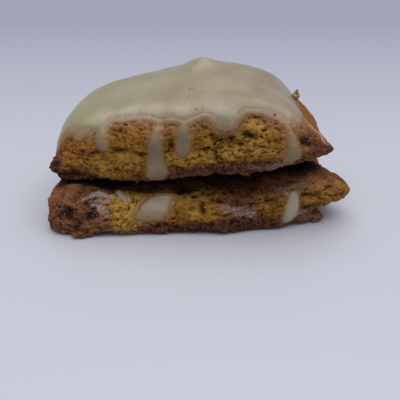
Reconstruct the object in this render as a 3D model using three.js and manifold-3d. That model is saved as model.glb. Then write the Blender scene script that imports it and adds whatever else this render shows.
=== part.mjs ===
// A petite glazed scone, split into two layers that lie on each other, with icing over the upper one
// that has run down its torn front and on to the lower one.
// Millimetres, +X to the right along the torn front, +Y to the back, +Z up; the scone stands on z = 0.
import * as THREE from "three";
import initManifold from "manifold-3d";

const manifold = await initManifold();
manifold.setup();

const { clamp, lerp } = THREE.MathUtils;

// Heights above the ground
const SEAM_HEIGHT = 12.6; // where the upper layer lies on the lower one
const CROWN_HEIGHT = 32.8; // top of the crumb under the icing
const CLEARANCE = 0.3; // between pieces that touch

// The torn front, in degrees
const FRONT_FACING = -94;
const FRONT_HALF = 62; // to each side of the way that it faces
const FRONT_FADE = 26; // past that, until the columns are as wide apart as at the back

// Mesh fineness
const FRONT_COLUMN = 1.4; // spacing of the columns round the torn front
const BACK_COLUMN = 5; // and round the rest of the outline
const COLUMN_BEND = 20; // degrees of bend for one more column
const ICING_COLUMN = 1.35; // how much wider the icing's columns are

const DEGREES = Math.PI / 180;

// A value that rises smoothly from 0 to 1 as x goes from a to b.
const ease = (share) => share * share * (3 - 2 * share);
const rise = (a, b, x) => ease(clamp((x - a) / (b - a), 0, 1));

// A bell of height 1 over x = 0, about w wide each way.
const bell = (x, w) => Math.exp(-(x * x) / (w * w));

// A quarter round, from 0 at x = 0 to 1 at x = 1 and past it.
const rounded = (x) => Math.sqrt(Math.max(0, 1 - Math.max(0, 1 - x) ** 2));

// The turn from one direction to another, in degrees, between -180 and 180.
const turn = (from, to) => ((((to - from) % 360) + 540) % 360) - 180;

// Smooth random relief: one fixed value for each corner of a cube lattice, blended between corners.
function latticeValue(i, j, k) {
  const scrambled = Math.sin(i * 127.1 + j * 311.7 + k * 74.7) * 43758.5453;
  return 2 * (scrambled - Math.floor(scrambled)) - 1;
}

function noise(x, y, z) {
  const [i, j, k] = [Math.floor(x), Math.floor(y), Math.floor(z)];
  const [u, v, w] = [ease(x - i), ease(y - j), ease(z - k)];
  const edge = (dj, dk) => lerp(latticeValue(i, j + dj, k + dk), latticeValue(i + 1, j + dj, k + dk), u);
  return lerp(lerp(edge(0, 0), edge(1, 0), v), lerp(edge(0, 1), edge(1, 1), v), w);
}

// Torn, flaky crumb: broad lumps, with finer ones that are flatter than they are wide.
const crags = {
  lump: 6.5, // mm across
  flake: 3.1,
  flatness: 1.7, // of the flakes
  lumpShare: 0.62,
  lumpShift: 7, // lattice steps that keep the two from lining up
  flakeShift: 3,
};

function cragRelief(p) {
  const { lump, flake, flatness, lumpShare } = crags;
  const broad = noise(p.x / lump, p.y / lump, p.z / lump + crags.lumpShift);
  const fine = noise(p.x / flake, p.y / flake + crags.flakeShift, (flatness * p.z) / flake);
  return lumpShare * broad + (1 - lumpShare) * fine;
}

// Each side of an outline has the direction it faces, in degrees, and its distance from the centre.
// Corner is how sharply the sides meet: 2 gives an oval, more gives tighter corners.
const lowerOutline = {
  centre: new THREE.Vector2(0.5, 1),
  corner: 11,
  sides: [
    { facing: -89, reach: 27.4 },
    { facing: -62, reach: 33 },
    { facing: -4, reach: 32.2 },
    { facing: 56, reach: 29.5 },
    { facing: 122, reach: 29 },
    { facing: 175, reach: 37.4 },
  ],
};

const upperOutline = {
  centre: new THREE.Vector2(-3, 1),
  corner: 7,
  sides: [
    { facing: -92, reach: 24.6 },
    { facing: 3, reach: 33 },
    { facing: 54, reach: 29.5 },
    { facing: 122, reach: 29 },
    { facing: 177, reach: 32.8 },
  ],
};

function outlineRadius(outline, angle) {
  const sum = outline.sides.reduce((total, { facing, reach }) => {
    const towards = Math.max(0, Math.cos((angle - facing) * DEGREES)) / reach;
    return total + towards ** outline.corner;
  }, 0);
  return sum ** (-1 / outline.corner);
}

// Directions of the mesh columns: close together round the torn front, wider apart elsewhere,
// and with one more for every few degrees that the outline bends.
function columnAngles(outline, wider = 1) {
  const samples = 1440;
  const direction = (n) => -180 + (360 * n) / samples;
  const point = (n) => {
    const [angle, radius] = [direction(n) * DEGREES, outlineRadius(outline, direction(n))];
    return new THREE.Vector2(Math.cos(angle), Math.sin(angle)).multiplyScalar(radius);
  };
  const heading = (n) => point(n + 1).sub(point(n)).angle() / DEGREES;
  const shares = [0];
  for (let n = 0; n < samples; n += 1) {
    const step = point(n).distanceTo(point(n + 1));
    const bend = Math.abs(turn(heading(n - 1), heading(n)));
    const aside = Math.abs(turn(FRONT_FACING, direction(n)));
    const front = rise(FRONT_HALF + FRONT_FADE, FRONT_HALF, aside);
    const spacing = wider * lerp(BACK_COLUMN, FRONT_COLUMN, front);
    shares.push(shares[n] + step / spacing + bend / (wider * COLUMN_BEND));
  }
  const count = Math.round(shares[samples]);
  const angles = [];
  for (let n = 0, c = 0; c < count; c += 1) {
    const wanted = (c * shares[samples]) / count;
    while (shares[n + 1] < wanted) n += 1;
    const within = (wanted - shares[n]) / (shares[n + 1] - shares[n]);
    angles.push(direction(n + within));
  }
  return angles;
}

const profileCurve = (places) =>
  new THREE.SplineCurve(places.map(([share, height]) => new THREE.Vector2(share, height)));

// A layer is a stack of rings from the middle of its underside, out round its side, to the middle of its top.
// Its profile gives each ring's share of the outline's radius and of the height there.
// Its features are lips, tips and notches: a push outwards and upwards at one direction and height share.
// Its drips lie on its side between two places, each a direction and a height share.
const lowerLayer = {
  outline: lowerOutline,
  profile: profileCurve([
    [0, 0], [0.5, 0], [0.86, 0], [0.965, 0.05], [0.995, 0.2], [1, 0.38], [0.985, 0.56],
    [0.955, 0.74], [0.9, 0.9], [0.8, 0.98], [0.45, 1], [0, 1],
  ]),
  rings: 20,
  underside: (x, y) => 1.1 * rise(12, 30, x) * rise(-8, -24, y),
  top(x, y) {
    const frontDip = 3.6 * rise(-7, -24, y) * rise(-31, -20, x) * rise(30, 17, x);
    const rightFall = 4.2 * rise(25, 41, x);
    const backFall = 0.5 * rise(16, 32, y);
    return SEAM_HEIGHT - frontDip - rightFall - backFall;
  },
  relief: 1.4,
  features: [
    { name: "right tip", angle: -26, height: 0.62, out: 7.6, up: 1.2, wide: 9, tall: 0.33 },
    { name: "hollow under the right tip", angle: -27, height: 0.17, out: -4.4, up: 0, wide: 12, tall: 0.08 },
    { name: "crust flap at the foot", angle: -35, height: 0.03, out: 4.2, up: 0, wide: 6, tall: 0.07 },
    { name: "left foot", angle: -145, height: 0.06, out: 1.4, up: 0, wide: 7, tall: 0.24 },
    { name: "lump at the left foot", angle: -136.5, height: 0.03, out: 4, up: 0, wide: 3.5, tall: 0.16 },
    { name: "hollow in the left end", angle: -146, height: 0.36, out: -1, up: 0, wide: 5, tall: 0.12 },
    { name: "left shoulder", angle: -152, height: 0.75, out: 0.8, up: 0, wide: 12, tall: 0.3 },
    { name: "hollow in the front", angle: -96, height: 0.86, out: -3, up: 0, wide: 26, tall: 0.2 },
    { name: "opening in the right front", angle: -57, height: 0.5, out: -1.6, up: 0, wide: 6, tall: 0.2 },
    { name: "ridge on the right front", angle: -52, height: 0.9, out: 1.4, up: 0.4, wide: 14, tall: 0.14 },
  ],
  drips: [
    {
      name: "icing_patch_middle",
      from: [-115, 0.985],
      to: [-117, 0.42],
      width: 8.2,
      thickness: 0.8,
      swell: 0,
      footShare: 0.25,
      lift: 0,
    },
    {
      name: "icing_patch_right",
      from: [-45.5, 0.93],
      to: [-50, 0.1],
      width: 3.8,
      thickness: 0.6,
      swell: 0.15,
      footShare: 0.25,
      lift: 0,
    },
  ],
};

const upperLayer = {
  outline: upperOutline,
  profile: profileCurve([
    [0, 0], [0.5, 0], [0.84, 0], [0.955, 0.01], [0.995, 0.07], [1, 0.2], [0.99, 0.34], [0.975, 0.48],
    [0.94, 0.62], [0.87, 0.75], [0.75, 0.865], [0.55, 0.95], [0.3, 0.99], [0, 1],
  ]),
  rings: 22,
  underside(x, y) {
    const frontCurl = rise(-8, -24, y) * (2.2 * rise(-16, 6, x) + 4.8 * rise(8, 30, x));
    const rightCurl = 2 * rise(22, 36, x);
    const backCurl = 0.4 * rise(18, 32, y);
    return SEAM_HEIGHT + CLEARANCE + frontCurl + rightCurl + backCurl;
  },
  top(x, y) {
    const leftFall = 3.8 * rise(8, -26, x);
    const rightFall = 0.016 * Math.max(0, x - 9) ** 2;
    const backFall = 0.008 * Math.max(0, y - 6) ** 2;
    return CROWN_HEIGHT - leftFall - rightFall - backFall;
  },
  relief: 1.1,
  features: [
    { name: "left lip", angle: -148, height: 0.22, out: 3.8, up: -1.4, wide: 6.5, tall: 0.14 },
    { name: "notch under the left lip", angle: -147, height: 0.1, out: -2.6, up: 0, wide: 7, tall: 0.06 },
    { name: "lower left lip", angle: -146, height: 0.01, out: 3.6, up: -0.3, wide: 6, tall: 0.05 },
    { name: "right tip", angle: -37, height: 0.19, out: 2.9, up: 0, wide: 8, tall: 0.22 },
    { name: "left shoulder", angle: -172, height: 0.5, out: 0.6, up: 0, wide: 16, tall: 0.3 },
    { name: "bulge of the right side", angle: 8, height: 0.5, out: 1.6, up: 0, wide: 16, tall: 0.24 },
    { name: "hollow in the front", angle: -68, height: 0.5, out: -1.2, up: 0, wide: 12, tall: 0.2 },
  ],
  // the uneven edge that the icing comes down to, as directions and height shares
  icingEdge: [
    [-190, 0.34], [-165, 0.2], [-155, 0.2], [-149.5, 0.58], [-147, 0.66], [-142, 0.58], [-137, 0.82],
    [-125, 0.83], [-106, 0.77], [-89, 0.72], [-81, 0.78], [-73, 0.62], [-66, 0.62], [-59, 0.79],
    [-54, 0.81], [-43, 0.72], [-32, 0.82], [-8, 0.84], [18, 0.78], [42, 0.62], [60, 0.5], [80, 0.58],
    [102, 0.46], [122, 0.56], [148, 0.42], [170, 0.34],
  ],
  drips: [
    { from: [-138, 0.86], to: [-132.5, 0.49], width: 2.5, thickness: 0.8, swell: 0.1, footShare: 0.25, lift: 0.3 },
    { from: [-111.5, 0.84], to: [-108.5, -0.08], width: 3, thickness: 1, swell: 0.6, footShare: 0.26, lift: 0.3 },
    { from: [-95, 0.82], to: [-95, 0.33], width: 3, thickness: 0.9, swell: 0.25, footShare: 0.2, lift: 0.3 },
    { from: [-44.5, 0.82], to: [-47.5, 0.01], width: 1.9, thickness: 0.8, swell: 0.5, footShare: 0.2, lift: 0.3 },
    { from: [55, 0.72], to: [53, 0.2], width: 3.4, thickness: 0.9, swell: 0.15, footShare: 0.2, lift: 0.3 },
    { from: [104, 0.66], to: [105, 0.12], width: 3.8, thickness: 0.9, swell: 0.2, footShare: 0.2, lift: 0.3 },
    { from: [139, 0.64], to: [138, 0.24], width: 3.2, thickness: 0.9, swell: 0.1, footShare: 0.25, lift: 0.3 },
  ],
};

// Where features and crags fade out: from the first to the second share of the radius or the height.
const fades = { features: [0.7, 0.95], crags: [0.86, 0.97], cragsUpwards: [0.98, 0.7] };

// A point of a layer's skin: angle in degrees round the outline, t from 0, under its middle, to 1, over it.
function skinPoint(layer, angle, t) {
  const { centre } = layer.outline;
  const place = layer.profile.getPoint(t);
  const share = place.x;
  const height = clamp(place.y, 0, 1);
  const away = new THREE.Vector2(Math.cos(angle * DEGREES), Math.sin(angle * DEGREES));
  const radius = share * outlineRadius(layer.outline, angle);
  const [x, y] = [centre.x + radius * away.x, centre.y + radius * away.y];
  const point = new THREE.Vector3(x, y, lerp(layer.underside(x, y), layer.top(x, y), height));
  for (const feature of layer.features) {
    const near = bell(turn(feature.angle, angle), feature.wide) * bell(height - feature.height, feature.tall);
    const push = near * rise(...fades.features, share);
    point.x += feature.out * push * away.x;
    point.y += feature.out * push * away.y;
    point.z += feature.up * push;
  }
  const torn = rise(...fades.crags, share) * rise(...fades.cragsUpwards, height);
  const bare = lerp(1, icedRelief, icedShare(layer, angle, height));
  const rough = layer.relief * cragRelief(point) * torn * bare;
  point.x += rough * away.x;
  point.y += rough * away.y;
  return point;
}

// The direction straight out of the skin.
function skinNormal(layer, angle, t) {
  const aside = 0.5; // degrees
  const step = 0.004;
  const across = skinPoint(layer, angle + aside, t).sub(skinPoint(layer, angle - aside, t));
  const [lower, higher] = [Math.max(0, t - step), Math.min(1, t + step)];
  const upwards = skinPoint(layer, angle, higher).sub(skinPoint(layer, angle, lower));
  return across.cross(upwards).normalize();
}

// A closed mesh from rings of points, with a single point at each end.
function closedMesh(rings, start, end) {
  const count = rings[0].length;
  const points = [start, ...rings.flat(), end];
  const last = points.length - 1;
  const index = (ring, column) => 1 + ring * count + (column % count);
  const faces = [];
  for (let c = 0; c < count; c += 1) {
    faces.push(0, index(0, c + 1), index(0, c));
    faces.push(last, index(rings.length - 1, c), index(rings.length - 1, c + 1));
    for (let r = 0; r + 1 < rings.length; r += 1) {
      const [a, b, d, e] = [index(r, c), index(r, c + 1), index(r + 1, c), index(r + 1, c + 1)];
      faces.push(a, b, e, a, e, d);
    }
  }
  const geometry = new THREE.BufferGeometry().setFromPoints(points);
  geometry.setIndex(faces);
  geometry.computeVertexNormals();
  return geometry;
}

function layerGeometry(layer) {
  const angles = columnAngles(layer.outline);
  const rings = [];
  for (let r = 1; r < layer.rings; r += 1) {
    rings.push(angles.map((angle) => skinPoint(layer, angle, r / layer.rings)));
  }
  return closedMesh(rings, skinPoint(layer, 0, 0), skinPoint(layer, 0, 1));
}

// The height share of the icing's edge in one direction.
function icedAbove({ icingEdge }, angle) {
  const next = icingEdge.findIndex(([direction]) => direction > angle);
  if (next < 1) return icingEdge[0][1];
  const [[a, low], [b, high]] = [icingEdge[next - 1], icingEdge[next]];
  return lerp(low, high, rise(a, b, angle));
}

// How far a place is under icing, from 0 to 1; the icing has filled the crags there.
const icedRelief = 0.1; // share of the crags that is left under it
const icedFade = { edge: 0.05, foot: 0.06, outside: [1.6, 0.4] }; // shares of the height, and mm beside a drip

function icedShare(layer, angle, height) {
  const { edge, foot, outside } = icedFade;
  const cover = layer.icingEdge ? rise(-edge, edge, height - icedAbove(layer, angle)) : 0;
  const drips = layer.drips.map(({ from, to, width }) => {
    const along = clamp((height - to[1]) / (from[1] - to[1]), 0, 1);
    const middle = lerp(to[0], from[0], along);
    const beside = Math.abs(turn(middle, angle)) * DEGREES * outlineRadius(layer.outline, angle);
    return rise(...outside, beside - width / 2) * rise(to[1] - 2 * foot, to[1] - foot, height);
  });
  return Math.max(cover, ...drips);
}

// The place in a layer's profile where its side has a given share of its height, by halving.
const sidePlaces = [0.2, 1]; // places in the profile with the whole side between them
const halvings = 24;

function profilePlace(layer, height) {
  let [low, high] = sidePlaces;
  for (let n = 0; n < halvings; n += 1) {
    const middle = (low + high) / 2;
    if (layer.profile.getPoint(middle).y < height) low = middle;
    else high = middle;
  }
  return (low + high) / 2;
}

// A point above the skin; below the foot of the side it hangs straight down in front of it.
const foot = { height: 0.08, sideHeight: 20 }; // share of the height, and mm

function pointOverSkin(layer, angle, height, above) {
  const t = profilePlace(layer, Math.max(height, foot.height));
  const point = skinPoint(layer, angle, t);
  const normal = skinNormal(layer, angle, t);
  if (height < foot.height) {
    normal.setZ(0).normalize();
    point.z -= (foot.height - height) * foot.sideHeight;
  }
  return point.addScaledVector(normal, above);
}

// The icing over the crown, in mm; spans are distances from its edge.
const icingCap = {
  thickness: 1.1,
  edgeThickness: 0.5,
  edgeSpan: [0, 3.5], // over which it gets thicker
  pool: { thickness: 0.35, fromEdge: 3.2, wide: 2 }, // where it has gathered above its edge
  waves: { thickness: 0.18, size: 6, layer: 3, span: [2, 6] },
  lump: { x: -0.7, y: 8, wide: 4.2, thickness: 2.5 },
  stoodOff: { height: 0.25, span: [1, 4] }, // more clearance under the crown
  sideLength: 45, // along a whole profile
  rim: 0.76, // place in the profile below which the rings follow the edge
  leastRim: 0.03,
  tip: 0.006, // how far the edge comes below the rings
  innerRings: { rim: [0.05, 0.3, 0.56, 0.82], crown: [0.08, 0.24, 0.42, 0.62, 0.82] },
  outerRings: { rim: [0.02, 0.22, 0.48, 0.76], crown: [0.04, 0.16, 0.3, 0.44, 0.58, 0.72, 0.86] },
};

// The cap's rings are close together near its uneven edge, and share their places on the crown.
function capGeometry(layer, cap) {
  const { pool, waves, lump, stoodOff } = cap;
  const column = (angle) => {
    const edge = profilePlace(layer, icedAbove(layer, angle));
    const rim = Math.max(edge + cap.leastRim, cap.rim);
    const fromEdge = (t) => cap.sideLength * (t - edge);
    const places = (shares) => [
      ...shares.rim.map((share) => lerp(edge, rim, share)),
      ...shares.crown.map((share) => lerp(rim, 1, share)),
    ];
    const over = (t, above) => skinPoint(layer, angle, t).addScaledVector(skinNormal(layer, angle, t), above);
    const thickness = (t) => {
      const p = skinPoint(layer, angle, t);
      const body = lerp(cap.edgeThickness, cap.thickness, rise(...cap.edgeSpan, fromEdge(t)));
      const gathered = pool.thickness * bell(fromEdge(t) - pool.fromEdge, pool.wide);
      const raised = lump.thickness * bell(Math.hypot(p.x - lump.x, p.y - lump.y), lump.wide);
      const wave = waves.thickness * noise(p.x / waves.size, p.y / waves.size, waves.layer);
      return body + gathered + raised + wave * rise(...waves.span, fromEdge(t));
    };
    const under = (t) => over(t, CLEARANCE + stoodOff.height * rise(...stoodOff.span, fromEdge(t)));
    const inner = places(cap.innerRings).reverse().map(under);
    const outer = places(cap.outerRings).map((t) => over(t, CLEARANCE + thickness(t)));
    return [...inner, over(edge - cap.tip, CLEARANCE + cap.edgeThickness / 2), ...outer];
  };
  const columns = columnAngles(layer.outline, ICING_COLUMN).map(column);
  const rings = columns[0].map((_, r) => columns.map((points) => points[r]));
  const top = skinPoint(layer, 0, 1);
  const start = top.clone().setZ(top.z + CLEARANCE + stoodOff.height);
  const end = top.clone().setZ(top.z + CLEARANCE + cap.thickness);
  return closedMesh(rings, start, end);
}

// A drip is rounded across and at both ends; its lift raises the part that is sunk in the icing above it.
const dripMesh = { rings: 9, around: 8 };
const dripForm = {
  headShare: 0.12, // share of its length over which its upper end narrows
  swellReach: 0.75, // length of its swelling, in lengths of its foot
  liftSpan: [0.7, 0.95], // shares of its length
  noseHeight: 0.02, // mm, of its ends over its underside
};

function dripGeometry(layer, drip) {
  const rings = [];
  const place = (s) => [lerp(drip.to[0], drip.from[0], s), lerp(drip.to[1], drip.from[1], s)];
  const size = (s) => {
    const swell = 1 + drip.swell * bell(s - drip.footShare, drip.footShare * dripForm.swellReach);
    return swell * rounded(s / drip.footShare) * rounded((1 - s) / dripForm.headShare);
  };
  const base = (s) => CLEARANCE + drip.lift * rise(...dripForm.liftSpan, s);
  for (let r = 1; r < dripMesh.rings; r += 1) {
    const s = (1 - Math.cos((Math.PI * r) / dripMesh.rings)) / 2;
    const [angle, height] = place(s);
    const radius = outlineRadius(layer.outline, angle);
    const ring = [];
    for (let n = 0; n < dripMesh.around; n += 1) {
      const phi = (2 * Math.PI * n) / dripMesh.around;
      const across = ((drip.width / 2) * size(s) * Math.sin(phi)) / radius / DEGREES;
      const above = base(s) + drip.thickness * size(s) * Math.max(0, Math.cos(phi));
      ring.push(pointOverSkin(layer, angle + across, height, above));
    }
    rings.push(ring);
  }
  const end = (s) => pointOverSkin(layer, ...place(s), base(s) + dripForm.noseHeight);
  return closedMesh(rings, end(0), end(1));
}

// Closed meshes joined into one.
function joined(geometries) {
  const solids = geometries.map((geometry) => {
    const mesh = new manifold.Mesh({
      numProp: 3,
      vertProperties: new Float32Array(geometry.attributes.position.array),
      triVerts: new Uint32Array(geometry.index.array),
    });
    return new manifold.Manifold(mesh);
  });
  const mesh = manifold.Manifold.union(solids).getMesh();
  const geometry = new THREE.BufferGeometry();
  geometry.setAttribute("position", new THREE.BufferAttribute(new Float32Array(mesh.vertProperties), 3));
  geometry.setIndex(new THREE.BufferAttribute(new Uint32Array(mesh.triVerts), 1));
  geometry.computeVertexNormals();
  return geometry;
}

// Meshes of the scone, each in a material of its own finish.
const finishes = {
  lowerCrumb: new THREE.MeshStandardMaterial({ color: "#8a6134", roughness: 0.85, metalness: 0 }),
  upperCrumb: new THREE.MeshStandardMaterial({ color: "#b88a35", roughness: 0.85, metalness: 0 }),
  icing: new THREE.MeshStandardMaterial({ color: "#d8d1b4", roughness: 0.3, metalness: 0 }),
};

function named(name, geometry, material) {
  const mesh = new THREE.Mesh(geometry, material);
  mesh.name = name;
  return mesh;
}

const scone = new THREE.Group();
const drips = upperLayer.drips.map((drip) => dripGeometry(upperLayer, drip));
scone.add(
  named("lower_layer", layerGeometry(lowerLayer), finishes.lowerCrumb),
  named("upper_layer", layerGeometry(upperLayer), finishes.upperCrumb),
  named("icing", joined([capGeometry(upperLayer, icingCap), ...drips]), finishes.icing),
);
for (const drip of lowerLayer.drips) {
  scone.add(named(drip.name, dripGeometry(lowerLayer, drip), finishes.icing));
}

// The origin goes to the middle of the footprint, on the ground.
const box = new THREE.Box3().setFromObject(scone);
const middle = box.getCenter(new THREE.Vector3());
for (const mesh of scone.children) mesh.geometry.translate(-middle.x, -middle.y, -box.min.z);

export default scone;
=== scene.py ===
import math
from functools import partial

import bmesh
import bpy
import numpy as np
from mathutils import Matrix, Vector, noise
from mathutils.bvhtree import BVHTree
from mathutils.kdtree import KDTree


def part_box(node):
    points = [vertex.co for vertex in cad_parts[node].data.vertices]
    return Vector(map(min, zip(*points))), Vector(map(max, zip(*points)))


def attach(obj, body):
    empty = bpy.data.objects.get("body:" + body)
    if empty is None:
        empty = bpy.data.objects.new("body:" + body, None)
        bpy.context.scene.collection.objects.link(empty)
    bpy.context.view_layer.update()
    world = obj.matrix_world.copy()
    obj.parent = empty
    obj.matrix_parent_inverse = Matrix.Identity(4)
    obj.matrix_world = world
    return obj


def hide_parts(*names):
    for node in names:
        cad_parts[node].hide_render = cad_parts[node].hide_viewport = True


# The torn side looks to -Y and the base stands on z = 0. Places and reaches in the lists are in mm.
mm = 0.001
weldDistance = 0.001 * mm
backgroundWeight = 0.1  # of a field's background, beside 1 at the middle of each of its places

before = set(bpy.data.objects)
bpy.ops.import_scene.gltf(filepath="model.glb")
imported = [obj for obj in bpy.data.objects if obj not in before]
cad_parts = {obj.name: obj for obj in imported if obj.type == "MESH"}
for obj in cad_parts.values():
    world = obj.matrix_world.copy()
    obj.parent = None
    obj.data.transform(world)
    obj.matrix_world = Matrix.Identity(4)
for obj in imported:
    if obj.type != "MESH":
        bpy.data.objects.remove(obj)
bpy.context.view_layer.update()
scene = bpy.context.scene
scene.view_settings.view_transform = "Standard"
print("frame loaded")


def linearColour(hexCode):
    channels = [int(hexCode[i:i + 2], 16) / 255 for i in (1, 3, 5)]
    return tuple(c / 12.92 if c <= 0.04045 else ((c + 0.055) / 1.055) ** 2.4 for c in channels) + (1.0,)


# Links the sockets among the values to a node's inputs, and sets the others
def feed(node, inputs):
    for key, value in inputs.items():
        if isinstance(value, bpy.types.NodeSocket):
            node.id_data.links.new(value, node.inputs[key])
        else:
            node.inputs[key].default_value = value


# A node with its settings and links: inputs in their order, or by name or number, and one output back
def addNode(tree, kind, inputs=(), output=0, **settings):
    node = tree.nodes.new(kind)
    for name, value in settings.items():
        setattr(node, name, value)
    feed(node, inputs if isinstance(inputs, dict) else dict(enumerate(inputs)))
    return node.outputs[output] if len(node.outputs) else None


# From 0 at low to 1 at high in a smooth step, whichever of the two is larger
def rise(low, high, values):
    share = np.clip((values - low) / (high - low), 0, 1)
    return share * share * (3 - 2 * share)


# Meshes as arrays

def vertexArray(mesh, field="co"):
    values = np.empty(len(mesh.vertices) * 3)
    mesh.vertices.foreach_get(field, values)
    return values.reshape(-1, 3)


def moveVertices(mesh, points):
    mesh.vertices.foreach_set("co", points.ravel())
    mesh.update()


def storeField(mesh, name, values):
    attribute = mesh.attributes.get(name) or mesh.attributes.new(name, "FLOAT", "POINT")
    attribute.data.foreach_set("value", values.astype(np.float32))


def fieldValues(mesh, name):
    values = np.empty(len(mesh.vertices), dtype=np.float32)
    mesh.attributes[name].data.foreach_get("value", values)
    return values


def surfaceTree(mesh):
    return BVHTree.FromPolygons([v.co for v in mesh.vertices], [p.vertices for p in mesh.polygons])


def distanceTo(tree, points, limit):
    found = (tree.find_nearest(Vector(p), limit)[3] for p in points)
    return np.array([limit if d is None else d for d in found])


# Free space in mm from each point to a surface, straight on in its direction
def spaceTo(tree, points, directions, limit):
    found = (tree.ray_cast(Vector(p), Vector(way), limit)[3] for p, way in zip(points, directions))
    return np.array([limit if d is None else d for d in found]) / mm


def distanceToSegment(points, start, end):
    start, end = np.array(start) * mm, np.array(end) * mm
    along = end - start
    share = np.clip((points - start) @ along / max(along @ along, 1e-12), 0, 1)
    return np.linalg.norm(points - start - share[:, None] * along, axis=1)


def applyModifiers(piece):
    graph = bpy.context.evaluated_depsgraph_get()
    finished = piece.evaluated_get(graph)
    mesh = bpy.data.meshes.new_from_object(finished, preserve_all_data_layers=True, depsgraph=graph)
    piece.modifiers.clear()
    piece.data = mesh
    return piece


def newPiece(name, mesh):
    piece = bpy.data.objects.new(name, mesh)
    scene.collection.objects.link(piece)
    return piece


# A CAD node's loose triangles, welded into a mesh of its own
def mergedCopy(nodeName, pieceName):
    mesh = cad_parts[nodeName].data.copy()
    work = bmesh.new()
    work.from_mesh(mesh)
    bmesh.ops.remove_doubles(work, verts=work.verts, dist=weldDistance)
    work.to_mesh(mesh)
    work.free()
    mesh.materials.clear()
    for attribute in [a for a in mesh.attributes if a.name.startswith("custom_normal")]:
        mesh.attributes.remove(attribute)
    return newPiece(pieceName, mesh)


def soften(piece, times):
    softened = piece.modifiers.new("softened", "SMOOTH")
    softened.factor = 0.5
    softened.iterations = times


def remeshed(piece, grain, smoothing):
    voxels = piece.modifiers.new("voxels", "REMESH")
    voxels.mode = "VOXEL"
    voxels.voxel_size = grain
    soften(piece, smoothing)
    return applyModifiers(piece)


def refine(piece, wanted):
    work = bmesh.new()
    work.from_mesh(piece.data)
    work.verts.ensure_lookup_table()
    chosen = [e for e in work.edges if wanted[e.verts[0].index] and wanted[e.verts[1].index]]
    bmesh.ops.subdivide_edges(work, edges=chosen, cuts=1, use_grid_fill=True)
    bmesh.ops.triangulate(work, faces=work.faces)
    work.to_mesh(piece.data)
    work.free()


# A field over the torn side that takes each place's value near it, and the background's far from all
def blendedField(points, places, background):
    total = np.full(len(points), backgroundWeight)
    value = total * background
    for x, z, width, height, wanted in places:
        gap = ((points[:, 0] / mm - x) / width) ** 2 + ((points[:, 2] / mm - z) / height) ** 2
        weight = np.exp(-gap)
        total += weight
        value += weight * wanted
    return value / total


# The strongest of some round places at each point: x, y, z and reach in mm, and strength
def strongest(points, places):
    amount = np.zeros(len(points))
    for x, y, z, reach, most in places:
        gap = np.linalg.norm(points / mm - np.array([x, y, z]), axis=1)
        amount = np.maximum(amount, most * np.exp(-(gap / reach) ** 2))
    return amount


# Relief of torn and baked dough as one Geometry Nodes tree: crags, level fibres and tears, pores,
# a fine grain and the blisters of the crust

reliefInputs = {
    "Crag Size": 3.0 * mm,
    "Crag Height": 1.1 * mm,
    "Fibre Size": 0.9 * mm,
    "Fibre Height": 0.6 * mm,
    "Tear Size": 5 * mm,
    "Tear Depth": 0.55 * mm,
    "Pore Size": 1.5 * mm,
    "Pore Depth": 0.5 * mm,
    "Grain Size": 0.62 * mm,
    "Grain Height": 0.5 * mm,
    "Crust Size": 1.9 * mm,
    "Crust Height": 0.85 * mm,
}

reliefPatterns = {  # how each is stretched (above 1 it is finer that way), its place, texture and values
    "Crag": ((1, 1, 1.5), "shifted", "ShaderNodeTexNoise", {"Detail": 4.0, "Roughness": 0.6}),
    "Fibre": ((0.45, 0.6, 1), "warped", "ShaderNodeTexNoise", {"Detail": 2.0, "Roughness": 0.55}),
    "Tear": ((0.6, 1, 2.6), "shifted", "ShaderNodeTexNoise", {"Detail": 3.0, "Roughness": 0.55}),
    "Patch": ((1, 1, 1), "shifted", "ShaderNodeTexNoise", {"Detail": 1.0, "Roughness": 0.55}),
    "Pore": ((1, 1, 1.5), "warped", "ShaderNodeTexVoronoi", {}),
    "Grain": ((1, 1, 1), "shifted", "ShaderNodeTexNoise", {"Detail": 1.0, "Roughness": 0.55}),
    "Crust": ((1, 1, 1), "shifted", "ShaderNodeTexNoise", {"Detail": 4.0, "Roughness": 0.55}),
}

reliefShape = {
    "wander": 2.2 * mm,  # how far fibres and pores are warped, and over what size
    "cragGain": 2.0,  # a noise stays well inside 0 to 1, so the crags are made up to their height
    "fibreWidth": 0.22,  # of the noise, to either side of a fibre's ridge
    "tearWidth": 0.035,  # of the noise, to either side of a tear
    "tearPatch": 1.3,  # size in tears of the patches that have them
    "tearPatches": (0.45, 0.62),  # of those patches' noise, from none to full
    "poreBowl": (0.1, 0.48),  # of a cell, from the flat bottom to the rim
    "poresOpen": (0.62, 0.8),  # of the cells' random values, from closed to open
}


def dressTree(tree, geometry, material):
    dressed = addNode(tree, "GeometryNodeSetMaterial", {"Geometry": geometry, "Material": material})
    addNode(tree, "NodeGroupOutput", {"Geometry": dressed})


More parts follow.
